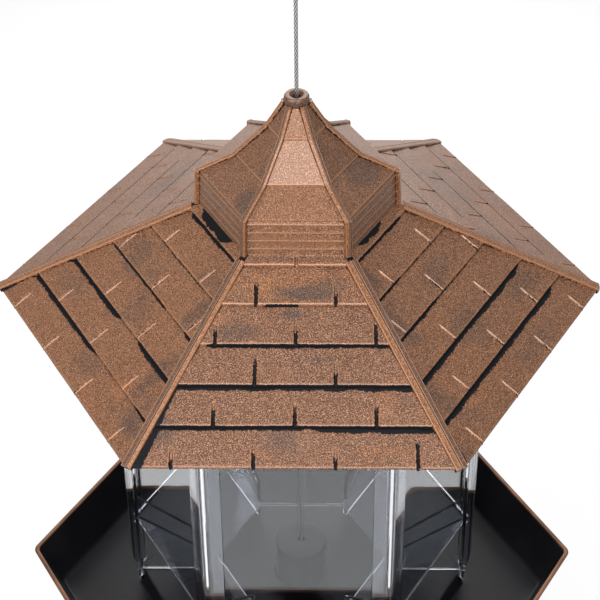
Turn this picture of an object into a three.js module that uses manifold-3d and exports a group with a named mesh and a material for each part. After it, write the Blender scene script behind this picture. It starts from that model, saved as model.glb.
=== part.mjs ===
// Hanging hexagonal bird feeder: a clear seed hopper stands on a black tray under a two-tier
// pagoda roof, and all of it hangs on one wire cable that runs up the middle.
// Millimetres, +Z up. The origin is where a hook bears inside the cable's loop.

import * as THREE from 'three';
import { mergeVertices } from 'three/addons/utils/BufferGeometryUtils.js';
import Module from 'manifold-3d';

const wasm = await Module();
wasm.setup();

// ---------- driving sizes ----------

const CORNER_R = 150;            // eave, centre to corner
const SIDES = 6;
const GAP = 0.3;                 // between neighbouring pieces
const CUT = 5;                   // how far a cutting shape runs past what it cuts
const COS30 = Math.cos(Math.PI / 6);
const TAN30 = Math.tan(Math.PI / 6);

// heights above the tray's underside
const TRAY_RIM_Z = 29.5;
const TRAY_FLOOR_Z = 2.5;
const PLATFORM_Z = 14;
const BOSS_Z = 39;
const FUNNEL_BASE_Z = 24;
const FIN_INNER_Z = 41;
const FEED_GAP_TOP_Z = 57.5;
const FIN_TOP_Z = 72;
const EAVE_Z = 219;
const CUPOLA_BASE_Z = 270.7;
const CUPOLA_EAVE_Z = 290.2;
const SPIRE_TOP_Z = 329;
const COLLAR_TOP_Z = 333.6;
const FERRULE_BASE_Z = 412;
const HANG_Z = 460;              // where the hook bears inside the loop

// tray
const TRAY_RIM_R = 152;
const TRAY_FOOT_R = 140.5;
const TRAY_WALL = 2.6;
const TRAY_FLOOR = 2.5;
const TRAY_ROUNDING = 5;
const PLATFORM_R = 92;
const PLATFORM_DRAFT = 1;
const BOSS_R = 14.3;
const BOSS_WALL = 3;

// hopper
const HOPPER_R = 96;
const HOPPER_APOTHEM = HOPPER_R * COS30;
const FLANGE = 10.5;
const POST_WALL = 2.2;
const POST_FIN_DEPTH = 7;
const LEG_INNER_R = 50;
const LEG_CHAMFER = 4.5;         // how far a leg's outer foot is cut back
const LEG_CHAMFER_HEIGHT = 14;
const PANEL_WALL = 2;
const OUTLET_R = 47;
const FUNNEL_WALL = 1.8;

// roof
const ROOF_WALL = 3;
const COURSES = 5;
const COURSE_RUN = 19.3;         // corner-radius step from one shingle course to the next
const COURSE_STEP = 1.2;
const RIB_WIDTH = 5;
const RIB_HEIGHT = 2.2;
const CUPOLA_R = 48.8;
const CUPOLA_TOP_R = 47.9;
const SPIRE_BENDS = [[29.4, 299.8], [13.9, 316]];   // corner radius and height
const CUPOLA_WALL = 2;
const SPIGOT_HEIGHT = 9;
const SPIGOT_WALL = 2.5;
const CLAPBOARDS = 4;
const CLAPBOARD_STEP = 1;
const CUPOLA_RIB_WIDTH = 3;
const CUPOLA_RIB_HEIGHT = 1.2;
const SPIRE_TOP_R = 6;
const ROOF_SLOPE = (CUPOLA_BASE_Z - EAVE_Z) / (CORNER_R - CUPOLA_R);
const EAVE_LIP = 4;
const CEILING_R = CORNER_R - EAVE_LIP;   // where the roof's inner face starts at the eave
const SPIGOT_R = CUPOLA_R - CUPOLA_WALL / COS30 - GAP;
const OPENING_R = SPIGOT_R - SPIGOT_WALL;
const POST_TOP_Z = ceilingZ(HOPPER_R) - GAP;

// cable
const CABLE_D = 2;
const BOSS_HOLE_R = 1.8;
const COLLAR_R = 6;
const COLLAR_HOLE_R = 2.2;
const STRAND_PITCH = 2.6;        // centre to centre of the two strands in the loop's ferrule
const FERRULE_LENGTH = 12;
const FERRULE_WALL = 1.1;
const STOP_WASHER_R = 8;
const STOP_WASHER_THICKNESS = 1.2;
const STOP_FERRULE_R = 3;
const STOP_FERRULE_LENGTH = 8;

// height of the roof's plain outer face, and of its inner face, at a corner radius
function roofZ(r) {
  return EAVE_Z + (CORNER_R - r) * ROOF_SLOPE;
}

function ceilingZ(r) {
  const topZ = roofZ(OPENING_R) - ROOF_WALL;
  return EAVE_Z + ((CEILING_R - r) * (topZ - EAVE_Z)) / (CEILING_R - OPENING_R);
}

// ---------- materials ----------

const copperPaint = new THREE.MeshStandardMaterial({ color: 0x96694c, roughness: 0.55, metalness: 0.45 });
const clearPlastic = new THREE.MeshStandardMaterial({
  color: 0xe8eef2, roughness: 0.05, metalness: 0, transparent: true, opacity: 0.3,
});
const blackPlastic = new THREE.MeshStandardMaterial({ color: 0x151517, roughness: 0.4, metalness: 0 });
const steel = new THREE.MeshStandardMaterial({ color: 0xa8abad, roughness: 0.35, metalness: 1 });

// ---------- geometry helpers ----------

function toSolid(geometry) {
  const bare = geometry.clone();
  bare.deleteAttribute('normal');
  bare.deleteAttribute('uv');
  const merged = mergeVertices(bare, 1e-4);
  return new wasm.Manifold(new wasm.Mesh({
    numProp: 3,
    vertProperties: new Float32Array(merged.attributes.position.array),
    triVerts: new Uint32Array(merged.index.array),
  }));
}

function toGeometry(solid) {
  const mesh = solid.getMesh();
  const geometry = new THREE.BufferGeometry();
  geometry.setAttribute('position', new THREE.BufferAttribute(new Float32Array(mesh.vertProperties), 3));
  geometry.setIndex(new THREE.BufferAttribute(new Uint32Array(mesh.triVerts), 1));
  geometry.computeVertexNormals();
  return geometry;
}

// A closed [radius, z] outline turned about Z. Six segments give a hexagon with corners on the X axis.
function turned(outline, segments = SIDES) {
  const points = outline.map(([r, z]) => new THREE.Vector2(r, z));
  points.push(points[0].clone());
  const geometry = new THREE.LatheGeometry(points, segments, Math.PI / 6, Math.PI * 2);
  geometry.rotateX(Math.PI / 2);
  return toSolid(geometry);
}

// A flat outline in the XY plane, extruded upwards by height from z.
function slab(outline, height, z = 0) {
  const shape = new THREE.Shape(outline.map(([x, y]) => new THREE.Vector2(x, y)));
  const geometry = new THREE.ExtrudeGeometry(shape, { depth: height, bevelEnabled: false });
  geometry.translate(0, 0, z);
  return toSolid(geometry);
}

// An outline in the XZ plane, made into a plate that is centred on y = 0.
function uprightPlate(outline, thickness) {
  const shape = new THREE.Shape(outline.map(([x, z]) => new THREE.Vector2(x, z)));
  const geometry = new THREE.ExtrudeGeometry(shape, { depth: thickness, bevelEnabled: false });
  geometry.rotateX(Math.PI / 2);
  geometry.translate(0, thickness / 2, 0);
  return toSolid(geometry);
}

function cylinder(radius, height, z, sides = 24) {
  const geometry = new THREE.CylinderGeometry(radius, radius, height, sides);
  geometry.rotateX(Math.PI / 2);
  geometry.translate(0, 0, z + height / 2);
  return toSolid(geometry);
}

// A hexagon with rounded corners, as a list of points.
function roundedHexagon(cornerR, rounding) {
  const arcSteps = 4;
  const arcCentreR = cornerR - rounding / COS30;
  const points = [];
  for (let side = 0; side < SIDES; side += 1) {
    const corner = (side * Math.PI) / 3;
    for (let step = 0; step <= arcSteps; step += 1) {
      const angle = corner + (step / arcSteps - 0.5) * (Math.PI / 3);
      points.push([
        arcCentreR * Math.cos(corner) + rounding * Math.cos(angle),
        arcCentreR * Math.sin(corner) + rounding * Math.sin(angle),
      ]);
    }
  }
  return points;
}

// A solid between two rounded hexagons at different heights.
function frustum(lowR, highR, lowZ, highZ, rounding) {
  const low = roundedHexagon(lowR, rounding);
  const high = roundedHexagon(highR, rounding);
  const count = low.length;
  const positions = [];
  low.forEach(([x, y]) => positions.push(x, y, lowZ));
  high.forEach(([x, y]) => positions.push(x, y, highZ));
  positions.push(0, 0, lowZ, 0, 0, highZ);
  const faces = [];
  for (let i = 0; i < count; i += 1) {
    const next = (i + 1) % count;
    faces.push(i, next, count + next, i, count + next, count + i);
    faces.push(2 * count, next, i);
    faces.push(2 * count + 1, count + i, count + next);
  }
  const geometry = new THREE.BufferGeometry();
  geometry.setAttribute('position', new THREE.BufferAttribute(new Float32Array(positions), 3));
  geometry.setIndex(faces);
  return toSolid(geometry);
}

// A bar centred on the line between two [radius, z] points of a hip.
function ridgeBar(from, to, width, height) {
  const outline = [
    [from[0], from[1] - height], [to[0], to[1] - height],
    [to[0], to[1] + height], [from[0], from[1] + height],
  ];
  return uprightPlate(outline, width);
}

// The solid and its five copies, turned about Z by 60 degrees each.
function aroundAxis(solid) {
  let all = solid;
  for (let side = 1; side < SIDES; side += 1) {
    all = all.add(solid.rotate([0, 0, side * 60]));
  }
  return all;
}

// A round bar of a given diameter along a curve.
function tube(curve, diameter, sides, steps) {
  const section = new THREE.Shape();
  section.absarc(0, 0, diameter / 2, 0, Math.PI * 2, false);
  const geometry = new THREE.ExtrudeGeometry(section, {
    extrudePath: curve, steps, bevelEnabled: false, curveSegments: sides,
  });
  return toSolid(geometry);
}

// ---------- the assembly ----------

const feeder = new THREE.Group();
feeder.position.z = -HANG_Z;

function addPiece(name, solid, material, angleDeg = 0) {
  const mesh = new THREE.Mesh(toGeometry(solid), material);
  mesh.name = name;
  mesh.rotation.z = THREE.MathUtils.degToRad(angleDeg);
  feeder.add(mesh);
  return mesh;
}

// ---------- tray: shallow dish, raised platform and a hub that the cable comes up through ----------

function makeTray() {
  const dish = frustum(TRAY_FOOT_R, TRAY_RIM_R, 0, TRAY_RIM_Z, TRAY_ROUNDING);
  const innerRimR = TRAY_RIM_R - TRAY_WALL / COS30;
  const innerFloorR = TRAY_FOOT_R - TRAY_WALL / COS30;
  const wallLean = (innerRimR - innerFloorR) / (TRAY_RIM_Z - TRAY_FLOOR_Z);
  const hollow = frustum(
    innerFloorR, innerRimR + CUT * wallLean, TRAY_FLOOR_Z, TRAY_RIM_Z + CUT, TRAY_ROUNDING - TRAY_FLOOR,
  );
  const inHubR = BOSS_R - 2 * BOSS_WALL;
  const platform = turned([
    [inHubR, TRAY_FLOOR / 2], [PLATFORM_R, TRAY_FLOOR / 2], [PLATFORM_R - PLATFORM_DRAFT, PLATFORM_Z],
    [inHubR, PLATFORM_Z],
  ]);
  const undersideR = PLATFORM_R - 2 * TRAY_FLOOR;
  const underside = turned([
    [inHubR, -CUT], [undersideR + PLATFORM_DRAFT, -CUT], [undersideR, PLATFORM_Z - TRAY_FLOOR],
    [inHubR, PLATFORM_Z - TRAY_FLOOR],
  ]);
  const hub = cylinder(BOSS_R, BOSS_Z - TRAY_FLOOR / 2, TRAY_FLOOR / 2);
  const hubHollow = cylinder(BOSS_R - BOSS_WALL, BOSS_Z - BOSS_WALL + CUT, -CUT);
  const cableHole = cylinder(BOSS_HOLE_R, BOSS_Z + 2 * CUT, -CUT, 16);
  return dish.subtract(hollow).add(platform).add(hub)
    .subtract(underside).subtract(hubHollow).subtract(cableHole);
}

// ---------- hopper: six corner posts with legs, six panels and a funnel ----------

function makeCornerPost() {
  const backX = HOPPER_R - POST_WALL / COS30;
  const along = [-0.5 * FLANGE, COS30 * FLANGE];
  const inward = [-COS30 * POST_WALL, -0.5 * POST_WALL];
  const section = [
    [HOPPER_R, 0],
    [HOPPER_R + along[0], along[1]],
    [HOPPER_R + along[0] + inward[0], along[1] + inward[1]],
    [backX, 0],
    [HOPPER_R + along[0] + inward[0], -along[1] - inward[1]],
    [HOPPER_R + along[0], -along[1]],
  ];
  const angle = slab(section, POST_TOP_Z - PLATFORM_Z - GAP, PLATFORM_Z + GAP);
  const finInnerR = HOPPER_R - POST_FIN_DEPTH;
  const fin = uprightPlate([
    [LEG_INNER_R, PLATFORM_Z + GAP],
    [HOPPER_R - POST_WALL / 2, PLATFORM_Z + GAP],
    [HOPPER_R - POST_WALL / 2, POST_TOP_Z],
    [finInnerR, POST_TOP_Z],
    [finInnerR, FIN_TOP_Z],
    [LEG_INNER_R, FIN_INNER_Z],
  ], POST_WALL);
  const chamferWidth = 4 * FLANGE;
  const chamfer = uprightPlate([
    [HOPPER_R - LEG_CHAMFER, PLATFORM_Z - CUT],
    [HOPPER_R + CUT, PLATFORM_Z - CUT],
    [HOPPER_R + CUT, PLATFORM_Z + LEG_CHAMFER_HEIGHT],
    [HOPPER_R, PLATFORM_Z + LEG_CHAMFER_HEIGHT],
    [HOPPER_R - LEG_CHAMFER, PLATFORM_Z],
  ], chamferWidth);
  return angle.add(fin).subtract(chamfer);
}

function makePanel() {
  const outerY = -(HOPPER_APOTHEM - POST_WALL - GAP);
  const innerY = outerY + PANEL_WALL;
  const finClearance = (POST_WALL / 2 + GAP) / COS30;
  const halfWidth = -innerY * TAN30 - finClearance;
  return slab([
    [-halfWidth, outerY], [halfWidth, outerY], [halfWidth, innerY], [-halfWidth, innerY],
  ], POST_TOP_Z - FEED_GAP_TOP_Z - GAP, FEED_GAP_TOP_Z);
}

function makeFunnel() {
  const panelInside = HOPPER_APOTHEM - POST_WALL - GAP - PANEL_WALL - GAP;
  const outerR = panelInside / COS30;
  const ring = turned([
    [outerR, FEED_GAP_TOP_Z - FUNNEL_WALL],
    [outerR, FEED_GAP_TOP_Z],
    [OUTLET_R, FUNNEL_BASE_Z + FUNNEL_WALL],
    [OUTLET_R, FUNNEL_BASE_Z],
  ]);
  const slot = uprightPlate([
    [LEG_INNER_R - GAP, FUNNEL_BASE_Z - CUT],
    [HOPPER_R + CUT, FUNNEL_BASE_Z - CUT],
    [HOPPER_R + CUT, FEED_GAP_TOP_Z + CUT],
    [LEG_INNER_R - GAP, FEED_GAP_TOP_Z + CUT],
  ], POST_WALL + 2 * GAP);
  return ring.subtract(aroundAxis(slot));
}

// ---------- roof: shingled hexagonal shell, cupola with a concave spire, and the collar ----------

function makeRoof() {
  const outline = [[CORNER_R, EAVE_Z]];
  for (let course = 0; course < COURSES; course += 1) {
    const lowR = CORNER_R - course * COURSE_RUN;
    const highR = lowR - COURSE_RUN;
    outline.push([lowR, roofZ(lowR) + COURSE_STEP]);
    outline.push([highR, roofZ(highR)]);
  }
  const topR = CORNER_R - COURSES * COURSE_RUN;
  outline.push([topR, roofZ(topR) + COURSE_STEP]);
  outline.push([SPIGOT_R, roofZ(CUPOLA_R) + COURSE_STEP - GAP]);
  outline.push([SPIGOT_R, CUPOLA_BASE_Z + SPIGOT_HEIGHT]);
  outline.push([OPENING_R, CUPOLA_BASE_Z + SPIGOT_HEIGHT]);
  outline.push([OPENING_R, ceilingZ(OPENING_R)]);
  outline.push([CEILING_R, EAVE_Z]);
  const shell = turned(outline);
  const ribEndR = CUPOLA_R + RIB_HEIGHT;
  const rib = ridgeBar([ribEndR, roofZ(ribEndR)], [CORNER_R, EAVE_Z + RIB_HEIGHT / 2], RIB_WIDTH, RIB_HEIGHT);
  const ceiling = turned([
    [CABLE_D, EAVE_Z - CUT], [CORNER_R + CUT, EAVE_Z - CUT], [CORNER_R + CUT, EAVE_Z],
    [CEILING_R, EAVE_Z], [OPENING_R, ceilingZ(OPENING_R)], [CABLE_D, ceilingZ(OPENING_R)],
  ]);
  return shell.add(aroundAxis(rib)).subtract(ceiling);
}

// the spire's hip: three straight facets, each steeper than the one below
function spireOutline(offset) {
  const hip = [[CUPOLA_TOP_R, CUPOLA_EAVE_Z], ...SPIRE_BENDS, [SPIRE_TOP_R, SPIRE_TOP_Z]];
  return hip.map(([r, z]) => [r + offset, z]);
}

function makeCupola() {
  const boardHeight = (CUPOLA_EAVE_Z - CUPOLA_BASE_Z) / CLAPBOARDS;
  const boards = [];
  for (let board = 0; board < CLAPBOARDS; board += 1) {
    const z = CUPOLA_BASE_Z + board * boardHeight;
    const r = CUPOLA_R - (CUPOLA_R - CUPOLA_TOP_R) * (board / CLAPBOARDS);
    boards.push([r, z + (board === 0 ? COURSE_STEP : 0)]);
    boards.push([r - CLAPBOARD_STEP, z + boardHeight]);
  }
  const spireWall = CUPOLA_WALL / COS30 + 1;
  const neckR = COLLAR_HOLE_R + 1;
  const inside = spireOutline(-spireWall).filter(([r]) => r > neckR + 1).reverse();
  const bandInsideR = CUPOLA_R - CUPOLA_WALL / COS30;
  const shell = turned([
    ...boards, ...spireOutline(0),
    [neckR, SPIRE_TOP_Z],
    [neckR, SPIRE_TOP_Z - 2 * CUPOLA_WALL],
    ...inside.map(([r, z]) => [r, z - CUPOLA_WALL]),
    [bandInsideR, CUPOLA_EAVE_Z - 2 * spireWall],
    [bandInsideR, CUPOLA_BASE_Z + COURSE_STEP],
  ]);
  const hip = spireOutline(0);
  const ribs = hip.slice(1).map(
    (high, i) => ridgeBar(high, hip[i], CUPOLA_RIB_WIDTH, CUPOLA_RIB_HEIGHT),
  );
  ribs.push(uprightPlate([
    [CUPOLA_R - CUPOLA_WALL, CUPOLA_BASE_Z + COURSE_STEP],
    [CUPOLA_R + CUPOLA_RIB_HEIGHT, CUPOLA_BASE_Z + COURSE_STEP],
    [CUPOLA_TOP_R + CUPOLA_RIB_HEIGHT, CUPOLA_EAVE_Z],
    [CUPOLA_TOP_R - CUPOLA_WALL, CUPOLA_EAVE_Z],
  ], CUPOLA_RIB_WIDTH));
  return shell.add(aroundAxis(ribs.reduce((all, rib) => all.add(rib))));
}

function makeCollar() {
  const ring = [];
  const middleR = (COLLAR_R + COLLAR_HOLE_R) / 2;
  const thickR = (COLLAR_R - COLLAR_HOLE_R) / 2;
  const arcSteps = 8;
  const lowZ = SPIRE_TOP_Z + GAP;
  const springZ = COLLAR_TOP_Z - thickR;
  ring.push([COLLAR_HOLE_R, lowZ], [COLLAR_R, lowZ]);
  for (let step = 0; step <= arcSteps; step += 1) {
    const angle = (step / arcSteps) * Math.PI;
    ring.push([middleR + thickR * Math.cos(angle), springZ + thickR * Math.sin(angle)]);
  }
  return turned(ring, 24);
}

// ---------- cable, its loop and its two crimped ferrules ----------

// The route: hub stop, up the middle, round the loop and back into the ferrule.
const CABLE_ROUTE = [
  [0, 24], [0, 60], [0, 120], [0, 200], [0, 280], [0, 340], [0, 382], [0, 400], [-1.3, 410], [-1.3, 424],
  [-3.2, 432], [-6.8, 442], [-8.2, 451], [-5.7, 458.3], [0, 461], [5.7, 458.3], [8.2, 451], [6.8, 442],
  [3.2, 432], [1.3, 424], [1.3, 408],
];

function makeCable() {
  const points = CABLE_ROUTE.map(([x, z]) => new THREE.Vector3(x, 0, z));
  const curve = new THREE.CatmullRomCurve3(points, false, 'centripetal');
  curve.arcLengthDivisions = 600;
  return tube(curve, CABLE_D, 8, 84);
}

function makeLoopFerrule() {
  const holeHalfWidth = CABLE_D / 2 + GAP;
  const oval = (radius) => {
    const shape = new THREE.Shape();
    shape.absarc(STRAND_PITCH / 2, 0, radius, -Math.PI / 2, Math.PI / 2, false);
    shape.absarc(-STRAND_PITCH / 2, 0, radius, Math.PI / 2, (3 * Math.PI) / 2, false);
    return shape;
  };
  const shape = oval(holeHalfWidth + FERRULE_WALL);
  shape.holes.push(oval(holeHalfWidth));
  const geometry = new THREE.ExtrudeGeometry(shape, {
    depth: FERRULE_LENGTH, bevelEnabled: false, curveSegments: 8,
  });
  geometry.translate(0, 0, FERRULE_BASE_Z);
  return toSolid(geometry);
}

const WASHER_BASE_Z = BOSS_Z - BOSS_WALL - GAP - STOP_WASHER_THICKNESS;

function makeStopWasher() {
  const hole = cylinder(BOSS_HOLE_R, STOP_WASHER_THICKNESS + 2 * CUT, WASHER_BASE_Z - CUT, 16);
  return cylinder(STOP_WASHER_R, STOP_WASHER_THICKNESS, WASHER_BASE_Z).subtract(hole);
}

function makeStopFerrule() {
  const baseZ = WASHER_BASE_Z - GAP - STOP_FERRULE_LENGTH;
  const hole = cylinder(CABLE_D / 2 + GAP, STOP_FERRULE_LENGTH + 2 * CUT, baseZ - CUT, 12);
  return cylinder(STOP_FERRULE_R, STOP_FERRULE_LENGTH, baseZ, 16).subtract(hole);
}

addPiece('tray', makeTray(), blackPlastic);
const cornerPost = makeCornerPost();
const panel = makePanel();
for (let side = 0; side < SIDES; side += 1) {
  addPiece(`corner_post_${side + 1}`, cornerPost, clearPlastic, side * 60);
  addPiece(`hopper_panel_${side + 1}`, panel, clearPlastic, side * 60);
}
addPiece('seed_funnel', makeFunnel(), clearPlastic);
addPiece('roof_shell', makeRoof(), copperPaint);
addPiece('cupola', makeCupola(), copperPaint);
addPiece('collar_ring', makeCollar(), copperPaint);
addPiece('hanging_cable', makeCable(), steel);
addPiece('loop_ferrule', makeLoopFerrule(), steel);
addPiece('stop_washer', makeStopWasher(), steel);
addPiece('stop_ferrule', makeStopFerrule(), steel);

export default feeder;
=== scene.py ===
"""Looks for a hexagonal hanging bird feeder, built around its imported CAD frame.

A two-tier shingled pagoda roof in brushed copper paint slides on a wire rope over a clear hopper,
which stands in a black tray with a copper rim. Lengths below are millimetres above the tray's
underside, or out from the cable, until to_frame() turns them into the frame's metres.
"""
import math

import bmesh
import bpy
import numpy as np
from mathutils import Matrix, Vector, noise


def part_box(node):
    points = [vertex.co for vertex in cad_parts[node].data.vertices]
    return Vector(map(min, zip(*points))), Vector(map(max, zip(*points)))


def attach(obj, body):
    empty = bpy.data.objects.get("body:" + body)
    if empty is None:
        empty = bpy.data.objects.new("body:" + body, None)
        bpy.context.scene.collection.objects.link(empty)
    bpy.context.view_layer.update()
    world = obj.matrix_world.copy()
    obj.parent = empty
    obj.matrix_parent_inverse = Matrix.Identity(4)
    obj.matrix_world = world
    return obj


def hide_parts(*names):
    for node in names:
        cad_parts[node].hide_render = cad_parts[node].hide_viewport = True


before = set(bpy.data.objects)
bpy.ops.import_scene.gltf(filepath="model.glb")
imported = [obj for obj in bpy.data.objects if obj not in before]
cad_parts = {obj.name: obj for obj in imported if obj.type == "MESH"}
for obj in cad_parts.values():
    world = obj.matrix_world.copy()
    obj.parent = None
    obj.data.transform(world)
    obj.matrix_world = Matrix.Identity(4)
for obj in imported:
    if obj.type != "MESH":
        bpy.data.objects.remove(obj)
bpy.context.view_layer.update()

MM = 0.001
BASE_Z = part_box("tray")[0].z
COS30 = math.cos(math.pi / 6)
SIDES = 6

# roof
EAVE_Z = 219.0
CORNER_R = 150.0
COURSES = 5
COURSE_RUN = 19.3
COURSE_STEP = 1.2
SHINGLE_WIDTH = 36.75
CUPOLA_BASE_Z = 270.7
CUPOLA_EAVE_Z = 290.2
CUPOLA_R = 48.8
CUPOLA_TOP_R = 47.9
SPIGOT_R = 46.1
SPIGOT_HEIGHT = 9.0
ROOF_WALL = 3.0
OPENING_R = 43.7
CEILING_R = 146.0
SPIRE_TOP_Z = 329.0
SPIRE_TOP_R = 6.0
COLLAR_R = 6.0
COLLAR_BORE_R = 2.3
COLLAR_HEIGHT = 4.0
ROOF_SLOPE = (CUPOLA_BASE_Z - EAVE_Z) / (CORNER_R - CUPOLA_R)

# tray
TRAY_RIM_Z = 29.5
TRAY_RIM_R = 152.0
TRAY_FOOT_R = 140.5
TRAY_WALL = 3.0  # measured along a corner's radius
TRAY_FLOOR = 2.5
PLATFORM_R = 92.0
PLATFORM_Z = 14.0
BOSS_R = 14.3
BOSS_WALL = 3.0
BOSS_Z = 39.0
BORE_R = 1.9

# camera, at the photograph's viewing angle, and its height above the tray's underside
CAMERA_PLACE = (14.8, -716.7, 792.8)
CAMERA_YAW = 1.128
CAMERA_PITCH = 39.06
CAMERA_ROLL = -0.54
CAMERA_LENS = 110.14


def to_frame(points):
    """Millimetre points above the tray's underside, as metres in the row frame."""
    points = np.asarray(points, float) * MM
    points[:, 2] += BASE_Z
    return points


# ---------- camera ----------


def add_camera():
    yaw, pitch, roll = (math.radians(a) for a in (CAMERA_YAW, CAMERA_PITCH, CAMERA_ROLL))
    forward = Vector((
        -math.sin(yaw) * math.cos(pitch),
        math.cos(yaw) * math.cos(pitch),
        -math.sin(pitch),
    ))
    level_right = Vector((math.cos(yaw), math.sin(yaw), 0))
    level_up = level_right.cross(forward)
    right = math.cos(roll) * level_right + math.sin(roll) * level_up
    up = math.cos(roll) * level_up - math.sin(roll) * level_right
    data = bpy.data.cameras.new("camera")
    data.sensor_width = 36
    data.lens = CAMERA_LENS
    data.clip_end = 50
    camera = bpy.data.objects.new("camera", data)
    rotation = Matrix((right, up, -forward)).transposed().to_4x4()
    camera.matrix_world = Matrix.Translation(to_frame([CAMERA_PLACE])[0]) @ rotation
    bpy.context.scene.collection.objects.link(camera)
    bpy.context.scene.camera = camera


# ---------- meshes ----------


def new_object(name, points, faces, marks=None, smooth=False):
    """A mesh object from millimetre points. marks are named numbers per point, for the shaders."""
    mesh = bpy.data.meshes.new(name)
    mesh.from_pydata([tuple(p) for p in to_frame(points)], [], [tuple(f) for f in faces])
    for key, values in (marks or {}).items():
        attribute = mesh.attributes.new(key, "FLOAT", "POINT")
        attribute.data.foreach_set("value", np.asarray(values, np.float32))
    mesh.validate()
    if smooth:
        mesh.shade_smooth()
    obj = bpy.data.objects.new(name, mesh)
    bpy.context.scene.collection.objects.link(obj)
    return obj


def tidy_mesh(obj, distance=0.02 * MM, sharp=math.radians(32)):
    """Welds doubles, drops slivers, points the faces outwards and shades smooth up to an angle."""
    work = bmesh.new()
    work.from_mesh(obj.data)
    bmesh.ops.remove_doubles(work, verts=work.verts, dist=distance)
    bmesh.ops.dissolve_degenerate(work, edges=work.edges, dist=distance / 4)
    bmesh.ops.recalc_face_normals(work, faces=work.faces)
    for face in work.faces:
        face.smooth = True
    for edge in work.edges:
        edge.smooth = len(edge.link_faces) == 2 and edge.calc_face_angle(0) < sharp
    work.to_mesh(obj.data)
    work.free()


def loft_faces(ring_count, per_ring, closed):
    """Quads between successive rings of points; closed also joins the last ring to the first."""
    faces = []
    for ring in range(ring_count if closed else ring_count - 1):
        low = ring * per_ring
        high = ((ring + 1) % ring_count) * per_ring
        for i in range(per_ring):
            j = (i + 1) % per_ring
            faces.append((low + i, low + j, high + j, high + i))
    return faces


def rounded_outline(points, radii, steps=4):
    """A closed 2-D outline with each corner turned into an arc of its own radius."""
    points = [np.array(p, float) for p in points]
    result = []
    count = len(points)
    for i, (point, radius) in enumerate(zip(points, radii)):
        before = points[i - 1] - point
        after = points[(i + 1) % count] - point
        reach_before = np.linalg.norm(before)
        reach_after = np.linalg.norm(after)
        before /= reach_before
        after /= reach_after
        half = math.acos(float(np.clip(before @ after, -1, 1))) / 2
        if half > math.radians(88):
            result.append(tuple(point))
            continue
        cut = min(radius / math.tan(half), 0.45 * reach_before, 0.45 * reach_after)
        first = point + before * cut
        last = point + after * cut
        for step in range(steps + 1):
            t = step / steps
            result.append(tuple((1 - t) ** 2 * first + 2 * t * (1 - t) * point + t * t * last))
    return result


def hexagon(corner_r, z, rounding):
    """A ring of points on a hexagon with corners on the X axis, rounded by an arc at each corner."""
    arc_steps = 6
    side_steps = 8
    centre_r = corner_r - rounding / COS30
    corners = []
    for side in range(SIDES):
        middle = side * math.pi / 3
        arc = []
        for step in range(arc_steps + 1):
            angle = middle + (step / arc_steps - 0.5) * math.pi / 3
            arc.append((
                centre_r * math.cos(middle) + rounding * math.cos(angle),
                centre_r * math.sin(middle) + rounding * math.sin(angle),
            ))
        corners.append(arc)
    ring = []
    for side in range(SIDES):
        arc = corners[side]
        following = corners[(side + 1) % SIDES][0]
        ring += [(x, y, z) for x, y in arc]
        for step in range(1, side_steps):
            t = step / side_steps
            ring.append((
                arc[-1][0] * (1 - t) + following[0] * t,
                arc[-1][1] * (1 - t) + following[1] * t,
                z,
            ))
    return ring


def sharp_hexagon(corner_r, z, side_steps):
    """A ring of points on a hexagon with sharp corners."""
    ring = []
    for side in range(SIDES):
        start = side * math.pi / 3
        end = (side + 1) * math.pi / 3
        for step in range(side_steps):
            t = step / side_steps
            x = corner_r * (math.cos(start) * (1 - t) + math.cos(end) * t)
            y = corner_r * (math.sin(start) * (1 - t) + math.sin(end) * t)
            ring.append((x, y, z))
    return ring


def turn_about_cable(points, side):
    angle = side * math.pi / 3
    points = np.asarray(points, float)
    turned = points.copy()
    turned[:, 0] = points[:, 0] * math.cos(angle) - points[:, 1] * math.sin(angle)
    turned[:, 1] = points[:, 0] * math.sin(angle) + points[:, 1] * math.cos(angle)
    return turned


class Pieces:
    """Collects points, faces and marks of several closed shapes into one mesh."""

    def __init__(self):
        self.points = []
        self.faces = []
        self.marks = {}

    def add(self, points, faces, **marks):
        offset = len(self.points)
        self.points += [tuple(p) for p in points]
        self.faces += [tuple(offset + i for i in face) for face in faces]
        for key, values in marks.items():
            if not hasattr(values, "__len__"):
                values = [values] * len(points)
            kept = self.marks.setdefault(key, [0.0] * offset)
            kept += [0.0] * (offset - len(kept))
            kept.extend(values)

    def build(self, name):
        obj = new_object(name, self.points, self.faces, self.marks)
        tidy_mesh(obj)
        return obj


# ---------- shaders ----------


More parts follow.
